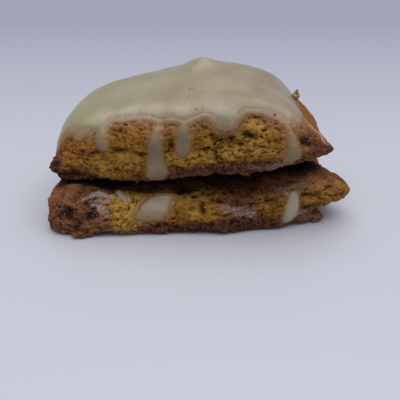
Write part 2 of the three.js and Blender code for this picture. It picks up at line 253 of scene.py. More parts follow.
def reliefTree(shape):
    tree = bpy.data.node_groups.new("dough relief", "GeometryNodeTree")
    add = partial(addNode, tree)
    face = tree.interface
    face.new_socket("Geometry", in_out="INPUT", socket_type="NodeSocketGeometry")
    for name, value in reliefInputs.items():
        face.new_socket(name, in_out="INPUT", socket_type="NodeSocketFloat").default_value = value
    face.new_socket("Shift", in_out="INPUT", socket_type="NodeSocketVector")
    face.new_socket("Material", in_out="INPUT", socket_type="NodeSocketMaterial")
    face.new_socket("Geometry", in_out="OUTPUT", socket_type="NodeSocketGeometry")
    source = add("NodeGroupInput").node.outputs
    place = add("GeometryNodeInputPosition")
    shifted = add("ShaderNodeVectorMath", (place, source["Shift"]), operation="ADD")
    wander = add("ShaderNodeVectorMath", {0: shifted, "Scale": 1 / shape["wander"]}, operation="SCALE")
    wander = add("ShaderNodeTexNoise", {"Vector": wander, "Scale": 1.0}, output="Color")
    wander = add("ShaderNodeVectorMath", (wander, (0.5, 0.5, 0.5)), operation="SUBTRACT")
    wander = add("ShaderNodeVectorMath", {0: wander, "Scale": shape["wander"]}, operation="SCALE")
    warped = add("ShaderNodeVectorMath", (shifted, wander), operation="ADD")
    places = {"shifted": shifted, "warped": warped}

    patchSize = add("ShaderNodeMath", (source["Tear Size"], shape["tearPatch"]), operation="MULTIPLY")
    patterns = {}
    for name, (stretch, where, texture, values) in reliefPatterns.items():
        size = patchSize if name == "Patch" else source[name + " Size"]
        finer = add("ShaderNodeMath", (1.0, size), operation="DIVIDE")
        spot = add("ShaderNodeVectorMath", (places[where], stretch), operation="MULTIPLY")
        spot = add("ShaderNodeVectorMath", {0: spot, "Scale": finer}, operation="SCALE")
        patterns[name] = add(texture, {"Vector": spot, "Scale": 1.0, **values})

    cragHeight = add("ShaderNodeMath", (source["Crag Height"], shape["cragGain"]), operation="MULTIPLY")
    heights = {"Crag": cragHeight, "Grain": source["Grain Height"], "Crust": source["Crust Height"]}
    for name, most in heights.items():
        centred = add("ShaderNodeMath", (patterns[name], 0.5), operation="SUBTRACT")
        heights[name] = add("ShaderNodeMath", (centred, most), operation="MULTIPLY")
    fromLine = {}
    for name in ("Fibre", "Tear"):
        centred = add("ShaderNodeMath", (patterns[name], 0.5), operation="SUBTRACT")
        fromLine[name] = add("ShaderNodeMath", (centred,), operation="ABSOLUTE")

    chance = add("ShaderNodeSeparateXYZ", (patterns["Pore"].node.outputs["Color"],))
    ramps = {  # what it reads, from and to, and what they give
        "ridge": (fromLine["Fibre"], 0.0, shape["fibreWidth"], 0.5, -0.5),
        "tear": (fromLine["Tear"], 0.0, shape["tearWidth"], 1.0, 0.0),
        "patch": (patterns["Patch"], *shape["tearPatches"], 0.0, 1.0),
        "bowl": (patterns["Pore"], *shape["poreBowl"], 1.0, 0.0),
        "open": (chance, *shape["poresOpen"], 0.0, 1.0),
    }
    for name, values in ramps.items():
        ramps[name] = add("ShaderNodeMapRange", values, interpolation_type="SMOOTHSTEP")

    fields = {}
    for name in ("torn", "bare", "carved"):
        fields[name] = add("GeometryNodeInputNamedAttribute", {"Name": name}, data_type="FLOAT")
    fibres = add("ShaderNodeMath", (ramps["ridge"], source["Fibre Height"]), operation="MULTIPLY")
    tears = add("ShaderNodeMath", (ramps["tear"], ramps["patch"]), operation="MULTIPLY")
    tears = add("ShaderNodeMath", (tears, source["Tear Depth"]), operation="MULTIPLY")
    pores = add("ShaderNodeMath", (ramps["bowl"], ramps["open"]), operation="MULTIPLY")
    pores = add("ShaderNodeMath", (pores, source["Pore Depth"]), operation="MULTIPLY")
    everywhere = add("ShaderNodeMath", (heights["Grain"], heights["Crust"]), operation="ADD")
    rough = add("ShaderNodeMath", (heights["Crag"], fibres), operation="ADD")
    rough = add("ShaderNodeMath", (rough, fields["torn"]), operation="MULTIPLY")
    rough = add("ShaderNodeMath", (rough, everywhere), operation="ADD")
    rough = add("ShaderNodeMath", (rough, fields["bare"]), operation="MULTIPLY")
    sunk = add("ShaderNodeMath", (pores, tears), operation="ADD")
    sunk = add("ShaderNodeMath", (sunk, fields["torn"]), operation="MULTIPLY")
    sunk = add("ShaderNodeMath", (sunk, fields["bare"]), operation="MULTIPLY")
    height = add("ShaderNodeMath", (rough, sunk), operation="SUBTRACT")
    height = add("ShaderNodeMath", (height, fields["carved"]), operation="SUBTRACT")

    relief = add("ShaderNodeMath", (height, mm), operation="DIVIDE")
    named = {"Geometry": source["Geometry"], "Name": "relief", "Value": relief}
    stored = add("GeometryNodeStoreNamedAttribute", named, data_type="FLOAT", domain="POINT")
    facing = add("GeometryNodeInputNormal")
    offset = add("ShaderNodeVectorMath", {0: facing, "Scale": height}, operation="SCALE")
    moved = add("GeometryNodeSetPosition", {"Geometry": stored, "Offset": offset})
    solid = add("GeometryNodeRealizeInstances", (moved,))
    dressTree(tree, solid, source["Material"])
    return tree


def runTree(piece, tree, **values):
    modifier = piece.modifiers.new(tree.name, "NODES")
    modifier.node_group = tree
    inputs = [item for item in tree.interface.items_tree if item.in_out == "INPUT"]
    sockets = {item.name: item.identifier for item in inputs}
    for name, value in values.items():
        modifier[sockets[name]] = value
    return applyModifiers(piece)


# Materials

def newMaterial(name):
    material = bpy.data.materials.new(name)
    material.use_nodes = True
    tree = material.node_tree
    tree.nodes.clear()
    surface = addNode(tree, "ShaderNodeBsdfPrincipled")
    addNode(tree, "ShaderNodeOutputMaterial", {"Surface": surface})
    return material, tree, surface.node


# Noises on Object coordinates, each by its size, its detail and how it is stretched
def objectNoises(tree, patterns):
    place = addNode(tree, "ShaderNodeTexCoord", output="Object")
    noises = {}
    for key, (size, detail, stretch) in patterns.items():
        spot = addNode(tree, "ShaderNodeVectorMath", (place, stretch), operation="MULTIPLY")
        inputs = {"Vector": spot, "Scale": 1 / size, "Detail": detail, "Roughness": 0.6}
        noises[key] = addNode(tree, "ShaderNodeTexNoise", inputs)
    return noises


# Scone dough, baked: open yellow crumb where it is torn, a browned crust where it is not,
# dark cinnamon sugar on the base, and a thin wet film of glaze where icing has run over it.
# It also carries painted shade, darker in the pits of its relief and near black between the layers, and
# painted light on raised relief and at listed places.
def bakedDough(name, colours, patterns, steps):
    material, tree, shader = newMaterial(name)
    add = partial(addNode, tree)
    tone = {key: linearColour(value) for key, value in colours.items()}
    noises = objectNoises(tree, patterns)
    fields = {}
    for key in ("relief", "browned", "cinnamon", "bright", "shut", "margin", "glazed"):
        fields[key] = add("ShaderNodeAttribute", output="Fac", attribute_name=key)

    fineHeight = add("ShaderNodeMapRange", (noises["fine"], *steps["fineHeight"]))
    relief = add("ShaderNodeMath", (fields["relief"], fineHeight), operation="ADD")
    speckleHeight = add("ShaderNodeMapRange", (noises["speckle"], *steps["speckleHeight"]))
    pitted = add("ShaderNodeMath", (relief, speckleHeight), operation="ADD")
    drift = add("ShaderNodeMapRange", (noises["broad"], *steps["drift"]))
    browned = add("ShaderNodeMath", (fields["browned"], drift), operation="ADD")
    spiced = add("ShaderNodeMath", (fields["cinnamon"], drift), operation="ADD")
    shares = {
        "crumb": relief,
        "crumbLight": relief,
        "crumbGolden": noises["broad"],
        "light": pitted,
        "golden": browned,
        "crust": browned,
        "cinnamon": spiced,
        "crustPale": browned,
        "litHeight": relief,
        "sugary": browned,
        "dust": noises["dust"],
        "hollow": relief,
        "soakedHeight": relief,
        "filmPatches": noises["fine"],
        "filmHeight": relief,
    }
    for key, value in shares.items():
        shares[key] = add("ShaderNodeMapRange", (value, *steps[key]))

    # Partly pale crumb, partly painted light: a pale tone on raised relief at the listed places
    lit = add("ShaderNodeMath", (fields["bright"], shares["litHeight"]), operation="MULTIPLY")
    sugary = add("ShaderNodeMath", (shares["sugary"], shares["cinnamon"]), operation="MAXIMUM")
    dusty = add("ShaderNodeMath", (shares["dust"], sugary), operation="MULTIPLY")
    soaked = add("ShaderNodeMath", (fields["margin"], shares["soakedHeight"]), operation="MULTIPLY")
    film = add("ShaderNodeMath", (fields["glazed"], shares["filmPatches"]), operation="MULTIPLY")
    film = add("ShaderNodeMath", (film, shares["filmHeight"]), operation="MULTIPLY")
    film = add("ShaderNodeMath", (film, 1.0), operation="MINIMUM")
    baked = {}
    # The baked tones go darker in the relief's pits and lighter on its raised parts, as painted shade and
    # light; the speckle noise in it is real grain
    for key in ("golden", "crust", "cinnamon"):
        inputs = {0: shares["light"], 6: tone[key + "Dark"], 7: tone[key + "Light"]}
        baked[key] = add("ShaderNodeMix", inputs, output=2, data_type="RGBA")
    inputs = {0: shares["crustPale"], 6: tone["crumbPale"], 7: tone["crustPale"]}
    pale = add("ShaderNodeMix", inputs, output=2, data_type="RGBA")

    layers = [  # how much of each colour lies over those before it
        (shares["crumb"], tone["crumb"]),
        (shares["crumbLight"], tone["crumbLight"]),
        (shares["crumbGolden"], tone["crumbGolden"]),
        (shares["golden"], baked["golden"]),
        (shares["crust"], baked["crust"]),
        (shares["cinnamon"], baked["cinnamon"]),
        (lit, pale),
        (dusty, tone["dust"]),
        # Painted shade: the pores of the relief are darkened toward near black
        (shares["hollow"], tone["hollow"]),
        # Painted shade between the layers
        (fields["shut"], tone["shut"]),
        (soaked, tone["margin"]),
        (film, tone["film"]),
    ]
    # Painted shade and light: the crumb is darkest in the deepest pits of the relief and lightest on its
    # raised parts
    colour = tone["crumbPitShade"]
    for share, over in layers:
        colour = add("ShaderNodeMix", {0: share, 6: colour, 7: over}, output=2, data_type="RGBA")
    glossy = add("ShaderNodeMath", (film, soaked), operation="MAXIMUM")
    roughness = add("ShaderNodeMapRange", (glossy, *steps["roughness"]))
    bump = {"Strength": 0.6, "Distance": 0.15 * mm, "Height": noises["speckle"]}
    feed(shader, {
        "Base Color": colour,
        "Roughness": roughness,
        "Normal": add("ShaderNodeBump", bump),
        "IOR": 1.45,
        "Specular IOR Level": 0.3,
    })
    return material


# Poured sugar icing, set: smooth and satin, cream where it is thick, and clear enough where it is thin
# to show the dough.
def pouredIcing(name, colours, patterns, steps):
    material, tree, shader = newMaterial(name)
    add = partial(addNode, tree)
    tone = {key: linearColour(value) for key, value in colours.items()}
    noises = objectNoises(tree, patterns)
    fields = {}
    for key in ("lumps", "cover", "sheer", "run", "wet", "beneath", "rim"):
        fields[key] = add("ShaderNodeAttribute", output="Fac", attribute_name=key)
    across = add("ShaderNodeSeparateXYZ", (add("ShaderNodeTexCoord", output="Object"),))

    drift = add("ShaderNodeMapRange", (noises["streaks"], *steps["drift"]))
    cover = add("ShaderNodeMath", (fields["cover"], drift), operation="ADD")
    cover = add("ShaderNodeMath", (cover, fields["sheer"]), operation="SUBTRACT")
    patchy = add("ShaderNodeMapRange", (noises["patches"], *steps["patchy"]))
    thin = add("ShaderNodeMath", (fields["rim"], patchy), operation="ADD")
    shares = {
        "right": across,
        "pale": noises["cloud"],
        "milky": noises["streaks"],
        "body": cover,
        "overCrust": fields["beneath"],
        "thin": thin,
        "satin": cover,
    }
    for key, value in shares.items():
        shares[key] = add("ShaderNodeMapRange", (value, *steps[key]))

    milky = add("ShaderNodeMath", (fields["lumps"], shares["milky"]), operation="MULTIPLY")
    thick = [(shares["right"], tone["right"]), (shares["pale"], tone["pale"]), (milky, tone["lump"])]
    body = tone["left"]
    for share, over in thick:
        body = add("ShaderNodeMix", {0: share, 6: body, 7: over}, output=2, data_type="RGBA")
    inputs = {0: shares["overCrust"], 6: tone["overCrumb"], 7: tone["overCrust"]}
    beneath = add("ShaderNodeMix", inputs, output=2, data_type="RGBA")
    layers = [
        (shares["body"], body),
        (fields["run"], tone["run"]),
        (fields["wet"], tone["wet"]),
        (shares["thin"], beneath),
    ]
    colour = tone["margin"]
    for share, over in layers:
        colour = add("ShaderNodeMix", {0: share, 6: colour, 7: over}, output=2, data_type="RGBA")
    wetter = add("ShaderNodeMath", (fields["wet"], 0.16), operation="MULTIPLY")
    feed(shader, {
        "Base Color": colour,
        "Roughness": add("ShaderNodeMath", (shares["satin"], wetter), operation="SUBTRACT"),
        "IOR": 1.48,
        "Subsurface Weight": 0.15,
        "Subsurface Radius": (1.0, 0.85, 0.6),
        "Subsurface Scale": 0.8 * mm,
    })
    return material


# Torn crumb or crust in two tones that change from grain to grain
def grainyDough(name, settings):
    material, tree, shader = newMaterial(name)
    noises = objectNoises(tree, {"grain": (settings["grainSize"], 3.0, (1, 1, 1))})
    share = addNode(tree, "ShaderNodeMapRange", (noises["grain"], *settings["fromTo"], 0.0, 1.0))
    tones = {0: share, 6: linearColour(settings["dark"]), 7: linearColour(settings["light"])}
    colour = addNode(tree, "ShaderNodeMix", tones, output=2, data_type="RGBA")
    feed(shader, {"Base Color": colour, "Roughness": settings["roughness"]})
    return material


# Sugar crystals baked on to the base: browned by the cinnamon, sharp-edged and glossy, so that they glint.
def sugarCrystal(colour):
    material, tree, shader = newMaterial("coarse sugar crystal")
    feed(shader, {"Base Color": linearColour(colour), "Roughness": 0.12, "IOR": 1.54})
    return material


# Ground vanilla seed: nearly black and matte.
def vanillaSeed(colour):
    material, tree, shader = newMaterial("ground vanilla seed")
    feed(shader, {"Base Color": linearColour(colour), "Roughness": 0.7})
    return material


# The two layers of dough. Places are x and z on the torn side in mm, half width, half height and a value.

doughColours = {
    # painted shade, for the deepest pits of the relief
    "crumbPitShade": "#49300c",
    "crumb": "#885e1a",
    "crumbLight": "#b4852f",
    "crumbGolden": "#925b16",
    "goldenDark": "#6a3c14",
    "goldenLight": "#ad7230",
    "crustDark": "#3a1e0f",
    "crustLight": "#965c35",
    "cinnamonDark": "#200b06",
    "cinnamonLight": "#6c3721",
    "crumbPale": "#d8aa50",
    "crustPale": "#b88664",
    "dust": "#a88c70",
    # painted shade in the pores
    "hollow": "#1d1004",
    # painted shade between the layers
    "shut": "#140a05",
    "margin": "#a07546",
    "film": "#b3a698",
}

upperSettings = {
    "grain": 0.6 * mm,
    "smoothing": 5,
    "tornFront": (10, 17),  # how far forward the torn side begins and is full
    "inward": -1,  # the inner face looks down
    "innerFrom": 25,  # and starts this far forward
    "browned": [
        (-36, 16.5, 3, 3, 1.0),
        (-32, 20, 3, 3, 0.6),
        (-27, 23, 4, 1.6, 0.5),
        (-18, 25, 4, 1.6, 0.5),
        (-7, 25.5, 3, 1.5, 0.45),
        (1, 26.5, 4, 1.4, 0.45),
        (10, 28, 3, 1.2, 0.5),
        (19, 27, 4, 2.2, 0.55),
        (21.5, 21, 2, 3, 0.35),
        (29, 24, 4.5, 5, 1.0),
        (-29, 17, 4, 3, 0.1),
        (-20, 18, 5, 4, 0.0),
        (-8, 20, 5, 4, 0.0),
        (4, 21, 6, 4, 0.0),
        (13, 23, 5, 4, 0.0),
    ],
    "cinnamon": [
        (-35.5, 16.5, 2.2, 3.0, 1.0),
        (-31, 13.5, 3, 1.4, 0.8),
        (-21, 13, 6, 1.0, 0.8),
        (-13, 14, 4, 1.5, 0.9),
        (-6, 15.3, 3, 2.0, 1.0),
        (1, 16, 4, 2.2, 1.0),
        (8, 16.2, 4, 2.3, 1.0),
        (15, 17, 4, 2.2, 1.0),
        (21, 18, 3, 1.6, 0.9),
        (27, 20, 4, 1.5, 0.7),
        (-29, 19, 6, 4, 0.0),
        (-18, 19, 6, 4, 0.0),
        (-6, 21, 6, 3.5, 0.0),
        (6, 22, 6, 3.5, 0.0),
        (17, 24, 6, 4, 0.0),
        (29, 25, 5, 3.5, 0.1),
    ],
    "carved": [  # x, z, half width, half height and depth in mm
        (11.9, 25.3, 2.2, 0.9, 1.5),
        (9.6, 22.9, 1.0, 0.6, 1.0),
        (7.6, 24.0, 1.3, 1.1, 1.3),
        (4.6, 23.3, 1.4, 1.3, 1.2),
        (1.4, 21.6, 2.6, 0.6, 0.9),
        (3.1, 24.6, 0.9, 1.0, 0.9),
        (-7.0, 22.6, 1.0, 2.2, 1.1),
        (-10, 23, 1.0, 2.4, 0.8),
        (-14.0, 20.3, 2.5, 0.6, 0.8),
        (-19.5, 21.2, 2.2, 0.6, 0.8),
        (-25.5, 20.8, 1.5, 0.6, 0.6),
        (15.2, 22.8, 1.4, 0.6, 0.8),
        (24.5, 24.2, 1.6, 1.3, 1.2),
        (-31.0, 15.5, 1.0, 1.6, 0.8),
    ],
    "film": [  # start, end, half width and strength of each run of glaze
        ((-22.5, -26, 19), (-22.5, -26.5, 15), 0.9, 0.5),
        ((25.6, -17, 27.2), (27.4, -19.5, 25.3), 0.8, 0.6),
        ((27.1, -20.3, 25.4), (28.9, -21.7, 24.1), 0.9, 0.75),
        ((28.9, -21.7, 24.1), (30.2, -24.9, 22.8), 0.7, 0.7),
        ((23, -26, 26.5), (25.5, -27.5, 25), 0.5, 0.6),
        ((12, -26, 17.5), (20, -27, 18.5), 0.8, 0.3),
    ],
    "filmHeight": 0.2 * mm,
    "marginReach": (0.2, 2.4),  # mm the tan rim reaches round the icing, and more along its upper edge
    "granular": [],
    # pale places: partly pale crumb, partly painted light laid on raised relief
    "bright": [  # x, z, half width, half height and strength
        (12.8, 25.4, 2.6, 2.0, 0.7),
        (7.5, 21.4, 6, 0.9, 0.6),
        (-3.5, 19.6, 4, 0.9, 0.5),
        (-20, 18.2, 4, 1.2, 0.4),
        (19, 22, 3, 1.2, 0.3),
    ],
    "shaded": [(-36, 13.6, 3, 0.8, 0.5)],
    "darkTips": [  # x, y, z and reach in mm, and strength
        (-36.3, -22.0, 17.0, 4.2, 0.8),
        (31.2, -26.6, 22.5, 3.0, 0.8),
        (28, -26.3, 22.5, 2.6, 0.8),
    ],
    "patchy": 0.35,  # how unevenly its crust is browned
    "patchSize": 8 * mm,
    "innerTone": 1.0,
    "shift": (0.013, 0.021, -0.017),  # of its relief, so that the layers differ
}

lowerSettings = {
    "grain": 0.6 * mm,
    "smoothing": 6,
    "tornFront": (12, 19),
    "inward": 1,
    "innerFrom": 21,
    "browned": [
        (-36, 6, 7, 7, 1.0),
        (-29, 6, 4, 7, 0.95),
        (-25, 9, 2.5, 3, 0.8),
        (-24, 4, 3, 2, 0.8),
        (-18, 6, 3.5, 3.2, 0.0),
        (-14, 8.5, 3, 2, 0.4),
        (-4, 7, 3.5, 3, 0.0),
        (1, 7, 3, 2.5, 0.05),
        (4, 5.5, 2, 1.5, 0.3),
        (9, 8.5, 3.5, 2.5, 0.85),
        (10.5, 5.5, 3, 2, 0.85),
        (16.8, 6.8, 2.2, 1.7, 0.0),
        (17, 9.8, 4, 1.3, 0.9),
        (23, 10.5, 4, 1.8, 0.8),
        (32, 11.5, 5, 1.4, 0.6),
        (30, 7, 4, 2.0, 0.1),
        (37, 9, 2.5, 3, 0.6),
        (-2, 11, 16, 1.3, 0.9),
    ],
    "cinnamon": [
        (-20, 1.5, 5, 1.2, 0.9),
        (-8, 1.8, 6, 1.3, 1.0),
        (3, 2.2, 6, 1.6, 1.0),
        (13, 2.2, 6, 2.0, 1.0),
        (22, 1.5, 4, 1.8, 0.9),
        (29, 1.5, 4, 1.5, 0.9),
        (-18, 6, 4, 3, 0.0),
        (-6, 7, 5, 3.5, 0.0),
        (4, 8, 5, 3, 0.0),
        (14, 8, 5, 3, 0.0),
        (25, 8, 5, 3, 0.0),
        (33, 9, 5, 4, 0.0),
        (-31, 6, 6, 5, 0.2),
    ],
    "carved": [
        (-32.5, 6.0, 1.8, 1.8, 1.0),
        (-27.2, 5.4, 1.6, 1.3, 1.3),
        (-30.5, 2.8, 1.6, 1.0, 0.9),
        (-27.5, 8.0, 1.0, 0.7, 0.7),
        (-4.3, 9.3, 2.6, 0.6, 1.3),
        (0.8, 6.3, 0.8, 0.9, 1.4),
        (-1.6, 8.0, 1.1, 0.4, 1.0),
        (4.2, 7.5, 1.8, 0.4, 1.1),
        (17.0, 7.9, 1.9, 0.7, 1.2),
        (28.0, 8.2, 2.6, 0.5, 0.8),
        (12.8, 6.4, 1.0, 1.0, 0.6),
        (26.8, 4.6, 1.4, 0.8, 0.9),
    ],
    "film": [
        ((-28.5, -27.6, 9.2), (-24, -26, 10.6), 0.6, 0.9),
        ((-25, -26.5, 10.2), (-22, -26.2, 9.4), 0.8, 0.8),
        ((-27, -28.2, 8.2), (-22, -27.2, 8.8), 0.8, 0.5),
        ((-24.5, -28.5, 7.6), (-22.8, -28.5, 5.2), 1.1, 0.7),
        ((-20.3, -24.5, 9.6), (-18.2, -26, 8), 0.9, 0.95),
        ((6, -27, 6.5), (13, -27, 5), 1.5, 0.4),
        ((18, -24, 9.5), (26, -21, 10.5), 0.9, 0.3),
        ((24, -24.5, 4), (32, -24, 2.6), 0.9, 0.55),
        ((20.5, -24, 10.5), (22.5, -24, 9), 0.9, 0.6),
    ],
    "filmHeight": 0.25 * mm,
    "marginReach": (0.4, 0.0),
    "granular": [(-18.5, 5.5, 3.5, 2.4, 1.0)],
    # pale places: partly pale golden crumb, partly painted light on crust that lies under the upper layer's
    # overhang and the right tip
    "bright": [
        (-18.5, 5.5, 3.6, 2.6, 0.9),
        (-35, 8, 3, 3, 0.25),
        (-1.5, 7.4, 2.6, 1.4, 0.5),
        (27, 11, 6, 1.8, 0.65),
        (32, 1.2, 6, 1.4, 0.6),
        (32, 7.5, 4, 1.2, 0.2),
        (-20.5, 3, 4, 1.0, 0.3),
    ],
    "shaded": [  # under the overhang of the upper layer hardly any light gets in
        (-20, 10.8, 6, 0.9, 0.8),
        (-12, 10.6, 5, 1.2, 0.95),
        (-3, 10.3, 5, 1.6, 1.0),
        (5, 10.3, 5, 1.7, 1.0),
        (12, 10.8, 4, 1.4, 1.0),
        (24, 11.5, 8, 2.0, 0.0),
        (0, 7, 14, 1.8, 0.0),
    ],
    "darkTips": [],
    "patchy": 0.35,
    "patchSize": 8 * mm,
    "innerTone": 0.55,
    "shift": (0.013, 0.021, 0.017),
}

doughPatterns = {  # size, detail and stretch
    "fine": (0.6 * mm, 3.0, (1, 1, 1)),
    "broad": (3.5 * mm, 4.0, (1, 1, 1)),
    "speckle": (0.3 * mm, 2.0, (1, 1, 1)),
    "dust": (0.28 * mm, 1.0, (1, 1, 1)),
}

doughSteps = {  # from and to of a field, a relief in mm or a noise, and what they give
    "fineHeight": (0.3, 0.7, -0.25, 0.25),
    "speckleHeight": (0.35, 0.65, -0.3, 0.3),
    "drift": (0.3, 0.7, -0.15, 0.15),
    # relief in mm over which the crumb goes from its painted pit shade to its own tone, then lighter as
    # painted light
    "crumb": (-0.9, 0.0, 0.0, 1.0),
    "crumbLight": (0.0, 0.7, 0.0, 1.0),
    "crumbGolden": (0.45, 0.65, 0.0, 0.45),
    # relief and speckle over which the baked tones go from painted shade in pits to painted light on raised
    # parts
    "light": (-0.5, 0.4, 0.0, 1.0),
    "golden": (0.2, 0.45, 0.0, 1.0),
    "crust": (0.55, 0.85, 0.0, 1.0),
    "cinnamon": (0.3, 0.7, 0.0, 1.0),
    "crustPale": (0.4, 0.7, 0.0, 1.0),
    "litHeight": (-0.4, 0.3, 0.0, 1.0),
    "sugary": (0.6, 0.9, 0.0, 1.0),
    "dust": (0.58, 0.68, 0.0, 0.4),
    # relief in mm over which the painted pore shade fades in
    "hollow": (-1.4, -0.6, 0.75, 0.0),
    "soakedHeight": (-0.5, 0.3, 0.5, 1.0),
    "filmPatches": (0.38, 0.55, 0.3, 1.2),
    "filmHeight": (-0.4, 0.2, 0.3, 1.0),
    "roughness": (0.0, 0.6, 0.85, 0.3),
}

layerFades = {  # both layers' fields, from and to: in mm, or in parts of a normal or of the height
    "frontFacing": (0.0, 0.4),
    "innerFacing": (0.35, 0.8),
    "base": (2.0, 0.4),
    "standing": (0.02, 0.5),
    "offGround": (0.35, 0.8),
    "bare": (0.32, 0.85),
    "grainy": (0.6, 1.2),
    "carved": (0.3, 0.7),
    "marginHeight": (22, 26),
    "lowSide": (0.4, 0.05),
    "highSide": (0.75, 1.0),
    "otherFacing": (-0.1, 0.3),
    "otherNear": (5.5, 2.5),
    "sugary": (0.3, 0.8),
    "palest": (0.6, 0.1),
    "plain": (0.45, 0.1),
    "open": (0.3, 0.1),
}

layerShape = {
    "refinedBehind": 2,  # mm behind the torn side from which the mesh is finer
    "innerDepth": 3,  # mm over which the inner face begins
    "icingLimit": 6 * mm,  # how far the icing is looked for,
    "underLimit": 2 * mm,  # straight out too,
    "otherLimit": 10 * mm,  # and how far the other layer is
    "underGap": 1.9,  # mm straight out to the icing, for dough that lies under it
    "marginEnd": 0.2,  # mm from the icing
    "marginMost": 0.7,
    "innerRoughness": 0.55,  # of the torn side's
    "filmSmoothness": 0.5,  # share of the relief that a film of glaze fills
    "sideBrowning": 0.5,
    "lowBrowning": 0.45,  # more near the base,
    "highBrowning": 0.2,  # and near the top
    "brownedElsewhere": 0.8,  # on the torn side, away from its listed places
    "cinnamonElsewhere": 0.2,
    "cinnamonBase": 0.6,
    # strongest painted shade between the layers
    "gapShadeMost": 0.95,
    "granularGain": 6,
    "carvedFalloff": 1.4,
}


# How wet the dough is with glaze that ran over it: full along each run, gone a little outside it
def glazeRuns(points, runs):
    glazed = np.zeros(len(points))
    for begin, end, width, strength in runs:
        gap = distanceToSegment(points, begin, end) / mm
        glazed = np.maximum(glazed, strength * rise(width * 1.3, width * 0.5, gap))
    return glazed


def doughLayer(nodeName, pieceName, otherName, settings, material, tree):
    fades, shape = layerFades, layerShape
    otherSurface = surfaceTree(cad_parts[otherName].data)
    piece = remeshed(mergedCopy(nodeName, pieceName), settings["grain"], settings["smoothing"])
    start, full = settings["tornFront"]
    points = vertexArray(piece.data)
    refine(piece, points[:, 1] < (shape["refinedBehind"] - start) * mm)
    mesh = piece.data
    points, normals = vertexArray(mesh), vertexArray(mesh, "normal")
    low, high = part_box(nodeName)
    above = (points[:, 2] - low[2]) / mm
    upwards = (points[:, 2] - low[2]) / (high[2] - low[2])
    inwards = settings["inward"] * normals[:, 2]

    # Where the torn side, the face between the layers and the icing are
    front = rise(start, full, -points[:, 1] / mm) * rise(*fades["frontFacing"], -normals[:, 1])
    begin = -settings["innerFrom"]
    inner = rise(begin, begin + shape["innerDepth"], points[:, 1] / mm)
    inner = rise(*fades["innerFacing"], inwards) * inner
    toIcing = distanceTo(icingSurface, points, shape["icingLimit"]) / mm
    underIcing = spaceTo(icingSurface, points, normals, shape["underLimit"]) < shape["underGap"]
    toIcing[underIcing] = skinGap  # right under the icing it is smooth
    glazed = glazeRuns(points, settings["film"])
    marginReach, topReach = settings["marginReach"]
    soakedReach = skinGap + marginReach + topReach * rise(*fades["marginHeight"], points[:, 2] / mm)
    storeField(mesh, "glazed", glazed)
    storeField(mesh, "margin", shape["marginMost"] * rise(soakedReach, shape["marginEnd"], toIcing))
    storeField(mesh, "torn", np.maximum(front * (1 - inner), shape["innerRoughness"] * inner))
    bare = rise(*fades["bare"], toIcing) * rise(*fades["standing"], above)
    storeField(mesh, "bare", bare * (1 - shape["filmSmoothness"] * glazed))

    # How it is baked: crust on the sides, crumb on the torn side, cinnamon sugar on the base
    browned = blendedField(points, settings["browned"], shape["brownedElsewhere"])
    sides = shape["sideBrowning"] + shape["lowBrowning"] * rise(*fades["lowSide"], upwards)
    sides = sides + shape["highBrowning"] * rise(*fades["highSide"], upwards)
    sides += settings["patchy"] * np.array([noise.noise(Vector(p) / settings["patchSize"]) for p in points])
    storeField(mesh, "browned", sides + front * (browned - sides))
    # Partly pale crumb, partly painted light at the listed places
    storeField(mesh, "bright", blendedField(points, settings["bright"], 0) * front)
    base = shape["cinnamonBase"] * rise(*fades["base"], above)
    cinnamon = blendedField(points, settings["cinnamon"], shape["cinnamonElsewhere"])
    cinnamon = base + front * (cinnamon - base)
    cinnamon = np.maximum(cinnamon, strongest(points, settings["darkTips"]))
    storeField(mesh, "cinnamon", np.maximum(cinnamon, settings["innerTone"] * inner))

    # Painted shade: near black where the other layer lies close over it, as hardly any light gets in
    # between the layers
    shaded = blendedField(points, settings["shaded"], 0) * front
    towardsOther = np.broadcast_to((0, 0, settings["inward"]), points.shape)
    toOther = spaceTo(otherSurface, points, towardsOther, shape["otherLimit"])
    shut = rise(*fades["otherNear"], toOther) * rise(*fades["otherFacing"], inwards)
    shut = np.maximum(shape["gapShadeMost"] * shut, shaded)
    storeField(mesh, "shut", shut)

    # Where sugar and crumbs lie
    clear = rise(*fades["grainy"], toIcing)
    sugary = rise(*fades["sugary"], cinnamon) * (1 - inner) * clear * rise(*fades["offGround"], above)
    storeField(mesh, "sugar", sugary)
    granular = blendedField(points, settings["granular"], 0) * shape["granularGain"]
    crumbly = rise(*fades["palest"], browned) + granular
    crumbly *= front * (1 - inner) * clear * rise(*fades["plain"], cinnamon) * rise(*fades["open"], shut)
    storeField(mesh, "crumbly", crumbly)

    carved = np.zeros(len(points))
    for x, z, width, height, depth in settings["carved"]:
        gap = ((points[:, 0] / mm - x) / width) ** 2 + ((points[:, 2] / mm - z) / height) ** 2
        carved += depth * mm * np.exp(-gap * shape["carvedFalloff"]) * front
    storeField(mesh, "carved", carved * rise(*fades["carved"], toIcing) - settings["filmHeight"] * glazed)
    runTree(piece, tree, Shift=Vector(settings["shift"]), Material=material)
    piece.data.shade_smooth()
    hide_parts(nodeName)
    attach(piece, "root")
    return piece


dough = reliefTree(reliefShape)
crumbMaterial = bakedDough("baked scone dough", doughColours, doughPatterns, doughSteps)
skinGap = 0.3  # mm that the CAD icing stands off the dough
icingNodes = {  # each with the dough it lies on
    "icing": "upper_layer",
    "icing_patch_middle": "lower_layer",
    "icing_patch_right": "lower_layer",
}
allIcing = bmesh.new()
for nodeName in icingNodes:
    allIcing.from_mesh(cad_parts[nodeName].data)
icingSurface = BVHTree.FromBMesh(allIcing)
allIcing.free()
bake = partial(doughLayer, material=crumbMaterial, tree=dough)
upperLayer = bake("upper_layer", "upper_crumb_layer", "lower_layer", upperSettings)
print("upper layer", len(upperLayer.data.polygons))
lowerLayer = bake("lower_layer", "lower_crumb_layer", "upper_layer", lowerSettings)
print("lower layer", len(lowerLayer.data.polygons))


